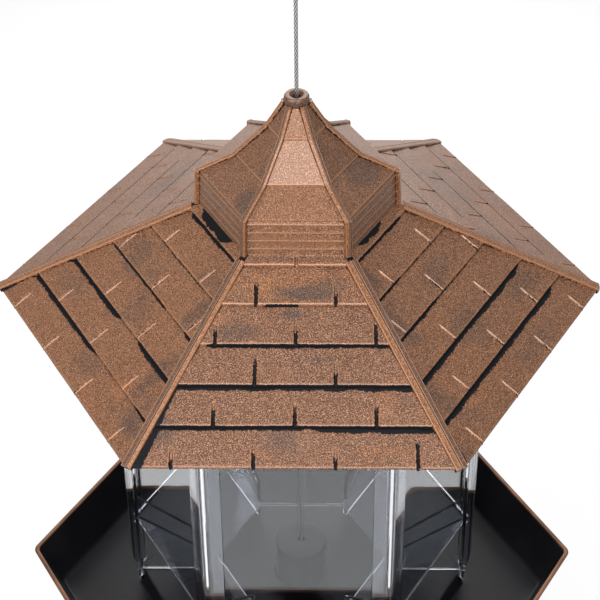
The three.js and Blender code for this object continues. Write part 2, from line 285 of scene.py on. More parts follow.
class Shader:
    """A small helper for node materials: add() makes a node and links or sets its inputs."""

    def __init__(self, name):
        self.material = bpy.data.materials.new(name)
        self.material.use_nodes = True
        self.tree = self.material.node_tree
        self.tree.nodes.clear()

    def add(self, kind, settings=None, **inputs):
        node = self.tree.nodes.new("ShaderNode" + kind)
        for key, value in (settings or {}).items():
            setattr(node, key, value)
        for key, value in inputs.items():
            numbered = key[0] == "i" and key[1:].isdigit()
            socket = node.inputs[int(key[1:]) if numbered else key.replace("_", " ")]
            if isinstance(value, bpy.types.NodeSocket):
                self.tree.links.new(value, socket)
            else:
                socket.default_value = value
        return node

    def place(self):
        return self.add("TexCoord").outputs["Object"]

    def noise(self, scale, detail=3.0, roughness=0.55, where=None):
        where = where or self.place()
        node = self.add("TexNoise", Vector=where, Scale=scale, Detail=detail, Roughness=roughness)
        return node.outputs["Fac"]

    def math(self, operation, first, second=0.0, third=0.0):
        settings = {"operation": operation}
        return self.add("Math", settings, i0=first, i1=second, i2=third).outputs[0]

    def ramp(self, value, low, high, to_low=0.0, to_high=1.0):
        node = self.add(
            "MapRange", {"interpolation_type": "SMOOTHSTEP"},
            Value=value, From_Min=low, From_Max=high, To_Min=to_low, To_Max=to_high,
        )
        return node.outputs[0]

    def mix(self, factor, first, second):
        node = self.add("Mix", {"data_type": "RGBA"})
        for index, value in ((0, factor), (6, first), (7, second)):
            if isinstance(value, bpy.types.NodeSocket):
                self.tree.links.new(value, node.inputs[index])
            else:
                node.inputs[index].default_value = value
        return node.outputs[2]

    def mark(self, name):
        return self.add("Attribute", {"attribute_name": name}).outputs["Fac"]

    def bump(self, height, strength, distance):
        return self.add("Bump", Height=height, Strength=strength, Distance=distance).outputs[0]

    def finish(self, surface):
        output = self.tree.nodes.new("ShaderNodeOutputMaterial")
        self.tree.links.new(surface, output.inputs[0])
        return self.material


def colour(red, green, blue):
    return (red, green, blue, 1.0)


# How far the ragged edge of the black swings either way, in millimetres
RAGGED_REACH = 0.45


def copper_paint():
    """Brushed copper paint over black plastic. gap is the distance in millimetres from the nearest
    place that the brush left black, edge is 1 on raised edges that carry a painted highlight, the
    smoke mark is 1 where the paint is thin and dark and where shade is painted on, and the warm mark
    is 1 where it is thick and orange and where whole faces are tinted for how the light falls on them."""
    s = Shader("copper_paint")
    place = s.place()
    broad = s.noise(16.0, 3.0, 0.5, place)
    patch = s.noise(60.0, 4.0, 0.6, place)
    ragged = s.noise(800.0, 3.0, 0.7, place)
    grain = s.noise(2250.0, 1.0, 0.4, place)
    edge = s.mark("edge")
    gap = s.mark("gap")
    tone = s.ramp(s.math("MULTIPLY_ADD", patch, 0.5, s.math("MULTIPLY", broad, 0.5)), 0.40, 0.60)
    paint = s.mix(tone, colour(0.158, 0.059, 0.024), colour(0.182, 0.074, 0.033))
    # Thicker orange paint at random, and from the warm mark also a tint on whole faces that stands in for
    # how the light falls on them (painted light)
    warm = s.math("MULTIPLY", s.ramp(s.noise(24.0, 2.0, 0.5, place), 0.56, 0.70), 0.5)
    warm = s.math("MAXIMUM", warm, s.mark("warm"))
    paint = s.mix(s.math("MULTIPLY", warm, 0.9), paint, colour(0.345, 0.126, 0.034))
    # Thin dark paint at random, and from the smoke mark also painted shade on the cupola's side faces and
    # band
    smoke = s.math("MULTIPLY", s.ramp(s.noise(19.0, 3.0, 0.6, place), 0.58, 0.70), 0.5)
    smoke = s.math("MAXIMUM", smoke, s.mark("smoke"))
    paint = s.mix(s.math("MULTIPLY", smoke, 0.95), paint, colour(0.062, 0.044, 0.040))
    dark_grain = s.ramp(grain, 0.30, 0.50, 1.0, 0.0)
    paint = s.mix(dark_grain, paint, colour(0.026, 0.014, 0.010))
    bright_grain = s.ramp(grain, 0.50, 0.70, 0.0, 0.95)
    bright_grain = s.math("MULTIPLY", bright_grain, s.ramp(smoke, 0.0, 1.0, 1.0, 0.45))
    paint = s.mix(bright_grain, paint, colour(0.58, 0.312, 0.178))
    # Painted highlight on raised edges: brighter copper, and near white where the edge mark passes 0.95
    paint = s.mix(s.math("MULTIPLY", edge, 0.80), paint, colour(0.56, 0.27, 0.135))
    paint = s.mix(s.ramp(edge, 0.95, 1.30), paint, colour(0.88, 0.78, 0.70))
    gap = s.math("SUBTRACT", gap, RAGGED_REACH)
    torn = s.math("MULTIPLY_ADD", s.ramp(ragged, 0.30, 0.70), 2 * RAGGED_REACH, gap)
    bare = s.ramp(torn, -0.15, 0.20, 1.0, 0.0)
    base = s.mix(bare, paint, colour(0.012, 0.012, 0.015))
    rough = s.math("MULTIPLY_ADD", grain, 0.20, 0.52)
    relief = s.math("MULTIPLY_ADD", grain, 0.7, s.math("MULTIPLY", ragged, 0.3))
    shader = s.add(
        "BsdfPrincipled",
        Base_Color=base, Metallic=s.ramp(bare, 0.0, 1.0, 0.60, 0.75), Roughness=rough,
        Coat_Weight=s.ramp(bare, 0.0, 1.0, 0.80, 0.0), Normal=s.bump(relief, 0.35, 0.0003),
    )
    shader.inputs["Coat Roughness"].default_value = 0.38
    shader.inputs["Specular IOR Level"].default_value = 0.4
    return s.finish(shader.outputs[0])


def black_plastic():
    """Moulded black plastic, with copper paint brushed on where the mark rim is 1."""
    s = Shader("black_plastic")
    place = s.place()
    grain = s.noise(900.0, 3.0, 0.6, place)
    smudge = s.noise(35.0, 3.0, 0.5, place)
    ragged = s.noise(260.0, 4.0, 0.7, place)
    painted = s.ramp(s.math("MULTIPLY_ADD", ragged, 0.5, s.mark("rim")), 0.62, 0.86)
    copper = s.mix(s.ramp(smudge, 0.35, 0.65), colour(0.11, 0.052, 0.030), colour(0.22, 0.110, 0.062))
    black = s.mix(s.ramp(smudge, 0.3, 0.7), colour(0.0050, 0.0050, 0.0066), colour(0.0085, 0.0085, 0.0105))
    base = s.mix(painted, black, copper)
    rough = s.math("MULTIPLY_ADD", smudge, 0.16, 0.32)
    shader = s.add(
        "BsdfPrincipled",
        Base_Color=base, Metallic=s.math("MULTIPLY", painted, 0.5), Roughness=rough,
        Normal=s.bump(grain, 0.12, 0.0003),
    )
    shader.inputs["Specular IOR Level"].default_value = 0.21
    return s.finish(shader.outputs[0])


def clear_plastic():
    """Polished clear styrene, with faint flow marks from moulding."""
    s = Shader("clear_plastic")
    place = s.place()
    flow = s.noise(26.0, 2.0, 0.5, place)
    scuff = s.noise(300.0, 5.0, 0.7, place)
    rough = s.ramp(scuff, 0.62, 0.80, 0.015, 0.10)
    shader = s.add(
        "BsdfPrincipled",
        Base_Color=colour(0.925, 0.948, 0.996), Roughness=rough,
        Normal=s.bump(flow, 0.03, 0.0010),
    )
    shader.inputs["Transmission Weight"].default_value = 1.0
    shader.inputs["IOR"].default_value = 1.59
    return s.finish(shader.outputs[0])


def wire_rope():
    """Stainless wire strands, with painted shade in the grooves between the wires."""
    s = Shader("wire_rope")
    place = s.place()
    smudge = s.noise(700.0, 3.0, 0.6, place)
    dark = s.mark("strand_gap_shade")
    base = s.mix(s.ramp(dark, 0.05, 0.55), colour(0.80, 0.80, 0.82), colour(0.030, 0.030, 0.034))
    rough = s.math("MULTIPLY_ADD", smudge, 0.25, 0.22)
    shader = s.add(
        "BsdfPrincipled",
        Base_Color=base, Metallic=0.95, Roughness=rough, Normal=s.bump(smudge, 0.2, 0.0001),
    )
    return s.finish(shader.outputs[0])


def crimp_metal():
    """Pressed aluminium sleeve and washer, with fine tool marks."""
    s = Shader("crimp_metal")
    place = s.place()
    marks = s.noise(1200.0, 4.0, 0.7, place)
    smudge = s.noise(240.0, 3.0, 0.5, place)
    base = s.mix(smudge, colour(0.50, 0.50, 0.51), colour(0.70, 0.70, 0.71))
    rough = s.math("MULTIPLY_ADD", marks, 0.3, 0.28)
    shader = s.add(
        "BsdfPrincipled",
        Base_Color=base, Metallic=0.9, Roughness=rough, Normal=s.bump(marks, 0.25, 0.0002),
    )
    return s.finish(shader.outputs[0])


def assign(obj, material):
    obj.data.materials.clear()
    obj.data.materials.append(material)


# ---------- the wire rope ----------

# The route of part.mjs: hub stop, up the middle, round the loop and back into the ferrule.
CABLE_ROUTE = (
    (0, 24), (0, 60), (0, 120), (0, 200), (0, 280), (0, 340), (0, 382), (0, 400), (-1.3, 410),
    (-1.3, 424), (-3.2, 432), (-6.8, 442), (-8.2, 451), (-5.7, 458.3), (0, 461), (5.7, 458.3),
    (8.2, 451), (6.8, 442), (3.2, 432), (1.3, 424), (1.3, 408),
)
CABLE_D = 2.0
STRANDS = 6
LAY_LENGTH = 14.0


def smooth_route(points, spacing):
    """A centripetal Catmull-Rom curve through the points, sampled at an even spacing."""
    points = [np.array(p, float) for p in points]
    points = [2 * points[0] - points[1]] + points + [2 * points[-1] - points[-2]]
    dense = []
    for p0, p1, p2, p3 in zip(points, points[1:], points[2:], points[3:]):
        knots = [0.0]
        for a, b in ((p0, p1), (p1, p2), (p2, p3)):
            knots.append(knots[-1] + math.sqrt(np.linalg.norm(b - a)))
        k0, k1, k2, k3 = knots
        for step in range(60):
            t = k1 + (k2 - k1) * step / 60
            a1 = (k1 - t) / (k1 - k0) * p0 + (t - k0) / (k1 - k0) * p1
            a2 = (k2 - t) / (k2 - k1) * p1 + (t - k1) / (k2 - k1) * p2
            a3 = (k3 - t) / (k3 - k2) * p2 + (t - k2) / (k3 - k2) * p3
            b1 = (k2 - t) / (k2 - k0) * a1 + (t - k0) / (k2 - k0) * a2
            b2 = (k3 - t) / (k3 - k1) * a2 + (t - k1) / (k3 - k1) * a3
            dense.append((k2 - t) / (k2 - k1) * b1 + (t - k1) / (k2 - k1) * b2)
    dense.append(points[-2])
    dense = np.array(dense)
    along = np.concatenate([[0], np.cumsum(np.linalg.norm(np.diff(dense, axis=0), axis=1))])
    marks = np.linspace(0, along[-1], max(2, round(along[-1] / spacing) + 1))
    even = np.stack([np.interp(marks, along, dense[:, axis]) for axis in range(3)], 1)
    return even, marks


def add_cable(material):
    route, along = smooth_route([(x, 0, z) for x, z in CABLE_ROUTE], 0.55)
    tangents = np.gradient(route, axis=0)
    tangents /= np.linalg.norm(tangents, axis=1)[:, None]
    sideways = np.array([0.0, 1.0, 0.0])
    around = STRANDS * 6
    points = []
    strand_gap_shade = []
    for centre, tangent, s in zip(route, tangents, along):
        across = np.cross(sideways, tangent)
        twist = 2 * math.pi * s / LAY_LENGTH
        for i in range(around):
            angle = 2 * math.pi * i / around
            lobe = abs(math.sin((angle * STRANDS) / 2))
            radius = CABLE_D / 2 * (0.72 + 0.28 * math.sqrt(lobe))
            direction = math.cos(angle + twist) * across + math.sin(angle + twist) * sideways
            points.append(centre + radius * direction)
            # Painted shade in the grooves between the strands
            strand_gap_shade.append(1.0 - min(1.0, lobe * 1.15))
    faces = loft_faces(len(route), around, closed=False)
    last = (len(route) - 1) * around
    faces.append(tuple(reversed(range(around))))
    faces.append(tuple(last + i for i in range(around)))
    cable = new_object("wire_rope", points, faces, {"strand_gap_shade": strand_gap_shade}, smooth=True)
    assign(cable, material)
    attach(cable, "base")
    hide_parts("hanging_cable")
    path = to_frame(route[::4])
    start_x, start_z = CABLE_ROUTE[0]
    exit_point = to_frame([(start_x, 0, start_z)])[0]


# ---------- roof ----------


def roof_z(corner_r):
    """Height of the plain roof at a corner radius."""
    return EAVE_Z + (CORNER_R - corner_r) * ROOF_SLOPE


def ceiling_z(corner_r):
    """Height of the roof's inside at a corner radius."""
    top = roof_z(OPENING_R) - ROOF_WALL
    return EAVE_Z + (CEILING_R - corner_r) * (top - EAVE_Z) / (CEILING_R - OPENING_R)


# A width that never shows black, a gap mark far from any black, and one deep in it
NEVER_BARE = -0.9
PAINTED = 9.0
BARE = -3.0
# Where the brush missed below a course's step, on each of the six faces counted from the front one
# towards +X: (step from the eave up, from, to, width in millimetres). From and to run from -1 at
# the face's left end to 1 at its right end, and step 6 is the cupola's foot.
BARE_STEPS = (
    ((1, -1, 0.1, 1.9), (1, 0.1, 1, 2.9), (2, -1, 1, 2.4), (3, -0.9, 0.95, 1.5),
     (4, -0.45, 0.1, 0.7), (6, -0.35, -0.15, 0.7)),
    ((1, -1, 0.8, 2.4), (2, -1, 0.85, 2.3), (3, -1, -0.1, 1.4), (3, -0.1, 0.6, 0.5),
     (4, -1, -0.3, 1), (4, -0.3, 0.7, 0.4), (5, -0.9, 0.7, 1.1), (6, -0.7, 0.35, 2.2)),
    ((1, -0.8, 0.9, 1.5), (2, -1, 0.5, 1.8), (3, -0.6, 1, 1.4), (4, -0.8, 0.2, 1.5),
     (6, -0.5, 0.5, 1.6)),
    ((1, -1, 0.4, 1.2), (2, -0.4, 0.9, 1.8), (3, -1, 0.6, 0.9), (5, -0.5, 0.7, 0.8),
     (6, -0.8, 0.8, 2.6)),
    ((1, -0.9, 0.9, 1.9), (2, -0.7, 1, 1.7), (3, -1, 0.6, 1.9), (4, -0.6, 0.9, 1.5),
     (6, -0.4, 0.6, 1.6)),
    ((1, -1, 0.12, 2.1), (1, 0.75, 1, 1.1), (2, -1, 0.02, 2.3), (2, 0.35, 1, 2.2),
     (3, -0.95, 0.4, 0.7), (3, 0.75, 1, 1.4), (4, -0.5, 0.6, 0.5), (5, -0.8, 0.9, 1.5),
     (6, -0.75, 0.55, 4.2)),
)
# Where it missed along a hip: (face, end, corner radius from, to, width at the lower end)
BARE_HIPS = (
    (0, -1, 96, 150, 4.4), (0, 1, 60, 78, 0.9), (1, -1, 90, 150, 2.0), (1, -1, 60, 92, 0.8),
    (5, 1, 84, 98, 1.8), (5, -1, 126, 150, 4.0), (2, 1, 120, 150, 1.5), (3, -1, 110, 150, 2.4),
    (4, 1, 125, 150, 1.2),
)
HIP_HALF_WIDTH = 2.8
# Black along a course's own lower edge: where the brush missed; on the back faces where it missed,
# widened over the lip's top as painted shade behind the step; and elsewhere on every face but the
# front one, a thin line of painted shade in the step's crease
BARE_LIP = 0.30
BACK_BARE_AND_SHADE_LIP = 1.2
BACK_SIDES = (2, 3, 4)
SIDE_SHADE_LIP = 0.08
# How strong the painted highlight along the lower edge of each course is, from the eave up, on the front
# face and on the others
FRONT_EDGE_HIGHLIGHTS = (0.35, 0.40, 0.40, 0.45, 0.90, 0.90)
SIDE_EDGE_HIGHLIGHTS = (0.45, 0.55, 0.60, 0.60, 0.75, 0.60)
# How much more orange each face is tinted all over: painted light, standing in for how differently the
# light falls on each face
FACE_LIGHT_TINT = (0.0, 0.30, 0.1, 0.0, 0.1, 0.40)
# Thin dark paint and thick orange paint on the roof faces:
# (face, middle across, corner radius, half width across, half width down the slope, strength)
SMOKE_SPOTS = (
    (0, 0, 50.3, 26, 2, 0.55), (0, 6, 67, 15, 4.5, 0.85), (0, 16, 63, 9, 4, 0.6),
    (0, -28, 86, 11, 5, 0.6), (0, -1, 77, 6, 3, 0.7), (0, 8, 99, 10, 4, 0.35),
    (0, -60, 133, 7, 7, 0.7), (0, 22, 112, 18, 3, 0.3), (0, 52, 118, 8, 4, 0.3),
    (5, 44, 116, 4, 16, 0.6), (5, 32, 82, 4, 16, 0.6), (5, 4, 104, 9, 10, 0.35),
    (5, 56, 137, 7, 6, 0.7), (5, 10, 137, 11, 6, 0.4), (5, -28, 84, 8, 6, 0.45),
    (5, -40, 120, 12, 8, 0.35), (5, 20, 68, 7, 7, 0.35), (1, -26, 62, 5, 10, 0.7),
    (1, -36, 88, 5, 14, 0.6), (1, 6, 84, 14, 7, 0.45), (1, -4, 112, 12, 10, 0.45),
    (1, 40, 118, 13, 8, 0.45), (1, -52, 124, 6, 14, 0.5), (1, 18, 142, 18, 5, 0.4),
    (2, 10, 110, 26, 14, 0.4), (4, -14, 96, 22, 12, 0.4), (3, 0, 120, 40, 12, 0.35),
)
WARM_SPOTS = (
    (0, -15, 64, 8, 6, 0.75), (0, 24, 58, 6, 4, 0.45), (0, -38, 79, 7, 4, 0.6),
    (0, 0, 50.5, 28, 3, 0.55), (0, 0, 62, 34, 9, 0.45), (0, -12, 143, 12, 3, 0.3),
    (0, 40, 142, 16, 3, 0.35), (5, 22, 146, 12, 5, 0.65), (5, 36, 132, 9, 7, 0.8),
    (5, -6, 118, 9, 7, 0.5), (5, 22, 106, 7, 6, 0.55), (5, 28, 98, 7, 5, 0.55),
    (5, -52, 138, 9, 8, 0.55), (5, -8, 94, 14, 5, 0.3), (5, -18, 66, 9, 6, 0.35),
    (1, -34, 134, 12, 6, 0.6), (1, 4, 66, 10, 8, 0.45), (1, -18, 98, 8, 6, 0.45),
    (1, 52, 138, 10, 6, 0.4), (1, 24, 100, 12, 6, 0.35), (2, -20, 90, 18, 10, 0.3),
    (4, 22, 130, 20, 10, 0.3),
)


# The rounded lower edge of a course: how far in, and the share of the step's height there
STEP_EDGE = ((0.0, 0.375), (0.1, 0.7083), (0.35, 0.9333), (0.8, 0.975))


def shingle_rows():
    """Rows of one roof face from the eave up: corner radius, lift, course, and place in the course."""
    rows = []
    for course in range(COURSES + 1):
        low_r = CORNER_R - course * COURSE_RUN
        high_r = low_r - COURSE_RUN if course < COURSES else SPIGOT_R + 0.4
        if course:
            rows.append((low_r + 0.45, 0.0, course - 1, 1 - 0.45 / COURSE_RUN))
            rows.append((low_r + 0.12, -0.2, course - 1, 1.0))
        for inset, share in STEP_EDGE:
            rows.append((low_r - inset, share * COURSE_STEP, course, inset / COURSE_RUN))
        run = low_r - high_r
        steps = max(2, round((run - 2.2) / 0.95))
        for step in range(steps):
            inset = 1.5 + (run - 2.2) * step / steps
            lift = COURSE_STEP * (1 - inset / COURSE_RUN)
            rows.append((low_r - inset, lift, course, inset / COURSE_RUN))
    return rows


def shingle_columns():
    """Places across a face, close together at the joints between shingles."""
    half = SHINGLE_WIDTH / 2
    columns = set()
    for m in range(-4, 5):
        for near in (-1.7, -1.25, -0.95, -0.6, -0.35, 0.0, 0.35, 0.6, 0.95, 1.25, 1.7):
            columns.add(round(m * half + near, 3))
        for far in np.arange(3.2, half - 2.5, 1.7):
            columns.add(round(m * half + far, 3))
    return sorted(c for c in columns if abs(c) <= CORNER_R / 2 + 2)


def nearest_joint(x, course):
    """Place from this course's nearest joint, and its number; joints alternate by half a shingle."""
    half = SHINGLE_WIDTH / 2
    shift = half if course % 2 == 0 else 0.0
    number = round((x - shift) / SHINGLE_WIDTH)
    return x - shift - number * SHINGLE_WIDTH, number


def smoothstep(low, high, value):
    t = min(1.0, max(0.0, (value - low) / (high - low)))
    return t * t * (3 - 2 * t)


def bare_width(side, step, x, half_width):
    """How far the black shows below a step, at a place across the face."""
    widest = NEVER_BARE
    across = x / half_width
    for number, start, stop, width in BARE_STEPS[side]:
        if number != step:
            continue
        soft = 0.35
        if step <= COURSES:
            width -= RAGGED_REACH
            soft = 0.10
        rise = smoothstep(start - 0.06, start + soft, across)
        fall = smoothstep(-stop - 0.06, -stop + soft, -across)
        inside = min(rise, fall)
        wander = 1 + 0.5 * noise.noise(Vector((x * 0.13, side * 7.3, step * 3.1)))
        widest = max(widest, NEVER_BARE + (width * wander - NEVER_BARE) * inside)
    return widest


def bare_hip(side, x, corner_r, inside):
    """Distance out of the black patch along the nearer hip."""
    best = PAINTED
    for face, end, start, stop, width in BARE_HIPS:
        if face == side and x * end > 0:
            grown = smoothstep(start, stop + 8, corner_r) * (1 - smoothstep(stop, stop + 3, corner_r))
            reach = NEVER_BARE + (width - NEVER_BARE) * grown
            best = min(best, inside - HIP_HALF_WIDTH - reach)
    return best


def spots_at(spots, side, x, corner_r):
    """The strongest of the listed soft spots that reach this point of a face."""
    strongest = 0.0
    ragged = 1 + 0.35 * noise.noise(Vector((x * 0.16, corner_r * 0.16, side * 5.7)))
    for face, middle, radius, wide, tall, strength in spots:
        if face == side:
            distance = math.hypot((x - middle) / wide, (corner_r - radius) / tall) * ragged
            strongest = max(strongest, strength * (1 - smoothstep(0.45, 1.35, distance)))
    return strongest


def shingle_wave(x, y, z):
    """Slow unevenness of the moulded shingles, in millimetres."""
    return 0.22 * noise.noise(Vector((x, y, z)) * 0.055) + 0.07 * noise.noise(Vector((x, y, z)) * 0.16)


def step_gap(side, course, inset, drop, x, half_width):
    """Distance out of the nearer black: under the next course's step, or along this one's edge."""
    gap = drop - bare_width(side, course + 1, x, half_width)
    widest_lip = BACK_BARE_AND_SHADE_LIP if side in BACK_SIDES else BARE_LIP
    lip = -1.0
    # Black on this course's edge: bare plastic where the brush missed, widened as painted shade on the
    # back faces, and a thin line of painted shade on the other side faces
    if course and bare_width(side, course, x, half_width) > 0.1:
        lip = widest_lip
    elif course and side:
        lip = SIDE_SHADE_LIP
    if inset < widest_lip + 0.7:
        gap = min(gap, (inset - lip) * 4.0 + 0.2)
    return gap


def front_joint(offset, chance):
    """A joint on the front face: a wide slot between two raised edges with a painted highlight. Returns
    how deep in the slot a point is, how much its lip rises and is highlighted, its distance out of the
    black, and how far up the slot stays black."""
    joint = abs(offset)
    slot = 1 - smoothstep(0.45, 0.80, joint)
    lip_highlight = math.exp(-((joint - 1.05) / 0.24) ** 2)
    return slot, lip_highlight, joint - 0.95, 0.18 + 0.50 * (0.5 + 0.5 * chance)


def side_joint(offset, chance):
    """A joint on the other faces: a narrow slot with one raised edge beside it, carrying a painted
    highlight.
    """
    off_slot = abs(offset + 0.35)
    slot = 1 - smoothstep(0.15, 0.45, off_slot)
    lip_highlight = 1.9 * math.exp(-((offset - 0.30) / 0.17) ** 2)
    return slot, lip_highlight, off_slot - 0.42, 0.05 + 0.40 * max(0.0, chance)


def shingle_point(side, corner_r, lift, course, height, x):
    """Height above the plain roof, and the gap and edge marks, of one point of the shingles."""
    half_width = corner_r / 2
    inside = half_width - abs(x)
    inset = height * COURSE_RUN
    drop = COURSE_RUN - inset if course < COURSES else corner_r - CUPOLA_R
    offset, number = nearest_joint(x, course)
    chance = noise.cell(Vector((side + 0.5, course + 0.5, number + 20.5)))
    # Painted highlight along the rounded lower edge of each course
    edge_highlight = (FRONT_EDGE_HIGHLIGHTS if side == 0 else SIDE_EDGE_HIGHLIGHTS)[course]
    edge = edge_highlight * math.exp(-((inset - 0.45) / 0.28) ** 2)
    gap = step_gap(side, course, inset, drop, x, half_width)
    gap = min(gap, bare_hip(side, x, corner_r, inside))
    if bare_width(side, course + 1, x, half_width) > 1.0:
        # the black turns up along the hip where it meets one
        hook = 0.9 * math.exp(-drop / 5.0)
        gap = min(gap, inside - HIP_HALF_WIDTH - hook) if hook > 0.05 else gap
    depth = 0.0
    lip = 0.0
    has_joints = course < COURSES or (side == 0 and abs(x) < 3)
    if has_joints and inside > HIP_HALF_WIDTH + 1.0 and height < 1.0:
        slot, lip_highlight, in_slot, black_share = (side_joint if side else front_joint)(offset, chance)
        if course == COURSES:
            black_share = 0.0
        top = 0.62 + 0.06 * chance
        fade = 1 - smoothstep(top - 0.12, top, height)
        depth = slot * fade * (0.75 - 0.45 * smoothstep(0.25, 0.42, height))
        lip = 0.22 * fade * lip_highlight
        # Painted highlight on the joint's raised lip
        edge = max(edge, 0.7 * fade * lip_highlight)
        in_slot = max(in_slot, (height - black_share) * COURSE_RUN * 0.3)
        gap = min(gap, in_slot + 0.1)
    return lift - depth + lip, gap, edge


def add_shingles(pieces):
    """The outer skin of all six faces."""
    rows = shingle_rows()
    columns = shingle_columns()
    count = len(columns)
    faces = []
    for row in range(len(rows) - 1):
        for column in range(count - 1):
            low = row * count + column
            faces.append((low, low + 1, low + count + 1, low + count))
    for side in range(SIDES):
        points = []
        gaps = []
        edges = []
        smoke = []
        warm = []
        for corner_r, lift, course, height in rows:
            half_width = corner_r / 2
            for column in columns:
                x = max(-half_width, min(half_width, column))
                rise, gap, edge = shingle_point(side, corner_r, lift, course, height, x)
                points.append((x, -corner_r * COS30, roof_z(corner_r) + rise))
                gaps.append(max(BARE, min(PAINTED, gap)))
                edges.append(edge)
                smoke.append(spots_at(SMOKE_SPOTS, side, x, corner_r))
                # A painted light tint on the whole face, and thick orange paint in spots
                warm.append(max(FACE_LIGHT_TINT[side], spots_at(WARM_SPOTS, side, x, corner_r)))
        points = turn_about_cable(points, side)
        points = [(x, y, z + shingle_wave(x, y, z)) for x, y, z in points]
        pieces.add(points, faces, gap=gaps, edge=edges, smoke=smoke, warm=warm)


def close_roof(obj):
    """Gives the shingle skin its eave lip, ceiling, opening and spigot, as one closed shell."""
    work = bmesh.new()
    work.from_mesh(obj.data)
    gap = work.verts.layers.float["gap"]
    open_edges = [e for e in work.edges if len(e.link_faces) == 1]
    spigot_z = CUPOLA_BASE_Z + SPIGOT_HEIGHT
    between_z = BASE_Z + (EAVE_Z + CUPOLA_BASE_Z) / 2 * MM
    rims = (
        ([e for e in open_edges if e.verts[0].co.z < between_z], (
            (CORNER_R, EAVE_Z + 0.5), (CORNER_R - 0.6, EAVE_Z), (CEILING_R + 0.4, EAVE_Z),
            (CEILING_R - 1.0, ceiling_z(CEILING_R - 1.0)), (120.0, ceiling_z(120.0)),
            (90.0, ceiling_z(90.0)), (62.0, ceiling_z(62.0)), (OPENING_R, ceiling_z(OPENING_R)),
        )),
        ([e for e in open_edges if e.verts[0].co.z >= between_z], (
            (SPIGOT_R, CUPOLA_BASE_Z + 3.0), (SPIGOT_R, spigot_z - 0.4),
            (SPIGOT_R - 0.4, spigot_z), (OPENING_R + 0.4, spigot_z),
            (OPENING_R, spigot_z - 0.4), (OPENING_R, ceiling_z(OPENING_R)),
        )),
    )
    for edges, profile in rims:
        for corner_r, z in profile:
            made = bmesh.ops.extrude_edge_only(work, edges=edges)["geom"]
            edges = [g for g in made if isinstance(g, bmesh.types.BMEdge)]
            edges = [e for e in edges if len(e.link_faces) == 1]
            for vert in {v for e in edges for v in e.verts}:
                angle = math.atan2(vert.co.y, vert.co.x)
                from_face = (angle % (math.pi / 3)) - math.pi / 6
                wanted = corner_r * COS30 / math.cos(from_face) * MM
                scale = wanted / math.hypot(vert.co.x, vert.co.y)
                vert.co = Vector((vert.co.x * scale, vert.co.y * scale, BASE_Z + z * MM))
                vert[gap] = BARE
    bmesh.ops.remove_doubles(work, verts=work.verts, dist=0.05 * MM)
    work.to_mesh(obj.data)
    work.free()


# Half the cross-section of a hip's twin rib, from its middle groove outwards: across and up, in
# millimetres, its edge mark for a painted highlight and, where the brush missed, a gap mark. The
# tops lean with the roof.
RIB_HALF = (
    (0.10, 0.95, 0.0, -0.3), (0.20, 1.45, 0.2, 0.7), (0.42, 1.62, 0.9), (0.70, 1.58, 0.15),
    (2.55, 1.15, 0.10), (2.80, 1.22, 0.9), (3.05, 1.05, 0.8), (3.20, 0.4, 0.1, 0.3),
    (3.25, -1.5, 0.0, -1.0),
)
# Each hip's clockwise half and other half, from the +X hip on: how much darker, how much more orange,
# share of the width
RIB_DARKENING = ((0.0, 0.5), (0.4, 0.4), (0.4, 0.4), (0.5, 0.0), (0.9, 0.0), (0.0, 0.8))
RIB_WARM = ((0.7, 0.2), (0.0, 0.0), (0.0, 0.0), (0.2, 0.7), (0.0, 0.75), (0.65, 0.0))
RIB_WIDTHS = ((0.9, 0.9), (0.9, 0.9), (0.9, 0.9), (0.9, 0.9), (0.95, 0.66), (0.95, 0.95))
# The cupola's ribs against the roof's
CUPOLA_RIB_WIDTH = 0.55
CUPOLA_RIB_HEIGHT = 0.75


def add_rib(pieces, route, width, height, bare_foot=True):
    """A twin rib along a route of (corner radius, z) over each of the six hips. The brush missed
    its outer feet unless bare_foot is False."""
    route = np.array(route, float)
    tangents = np.gradient(route, axis=0)
    tangents /= np.linalg.norm(tangents, axis=1)[:, None]
    section = [(-across, *rest) for across, *rest in reversed(RIB_HALF)] + list(RIB_HALF)
    base = []
    edges = []
    gaps = []
    for (r, z), (along_r, along_z) in zip(route, tangents):
        out = np.array([along_z, -along_r])
        if out[0] * 0.5 + out[1] < 0:
            out = -out
        for across, rise, edge, *bare in section:
            rise *= height
            base.append((r + out[0] * rise, across * width, z + out[1] * rise))
            edges.append(edge)
            gaps.append(bare[0] if bare and (bare_foot or abs(across) < 2) else PAINTED)
    faces = loft_faces(len(route), len(section), closed=False)
    last = (len(route) - 1) * len(section)
    faces.append(tuple(range(len(section))))
    faces.append(tuple(last + i for i in reversed(range(len(section)))))
    for side in range(SIDES):
        smoke = [RIB_DARKENING[side][across > 0] for _, across, _ in base]
        warm = [RIB_WARM[side][across > 0] for _, across, _ in base]
        shaped = [(x, y * RIB_WIDTHS[side][y > 0], z) for x, y, z in base]
        pieces.add(turn_about_cable(shaped, side), faces, gap=gaps, edge=edges, smoke=smoke, warm=warm)


def add_roof(material):
    skin = Pieces()
    add_shingles(skin)
    roof = skin.build("shingled_roof")
    close_roof(roof)
    tidy_mesh(roof)
    ribs = Pieces()
    hip = [(r, roof_z(r)) for r in np.linspace(CORNER_R - 0.6, CUPOLA_R + 2.0, 40)]
    hip = [(r, z + shingle_wave(r, 0, z) * 0.5) for r, z in hip]
    add_rib(ribs, hip, 1.0, 1.0)
    rib_object = ribs.build("hip_ribs")
    for obj in (roof, rib_object):
        assign(obj, material)
        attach(obj, "roof")
    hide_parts("roof_shell")


# Corner radius and height of the spire's hips: three straight facets between the cupola's eave and
# the collar, and the heights of its four clapboards' lower edges.
SPIRE_HIP = ((CUPOLA_TOP_R, CUPOLA_EAVE_Z), (29.4, 299.8), (13.9, 316.0), (SPIRE_TOP_R, SPIRE_TOP_Z))
BOARD_EDGES = (270.9, 275.0, 279.5, 284.0, 288.6)
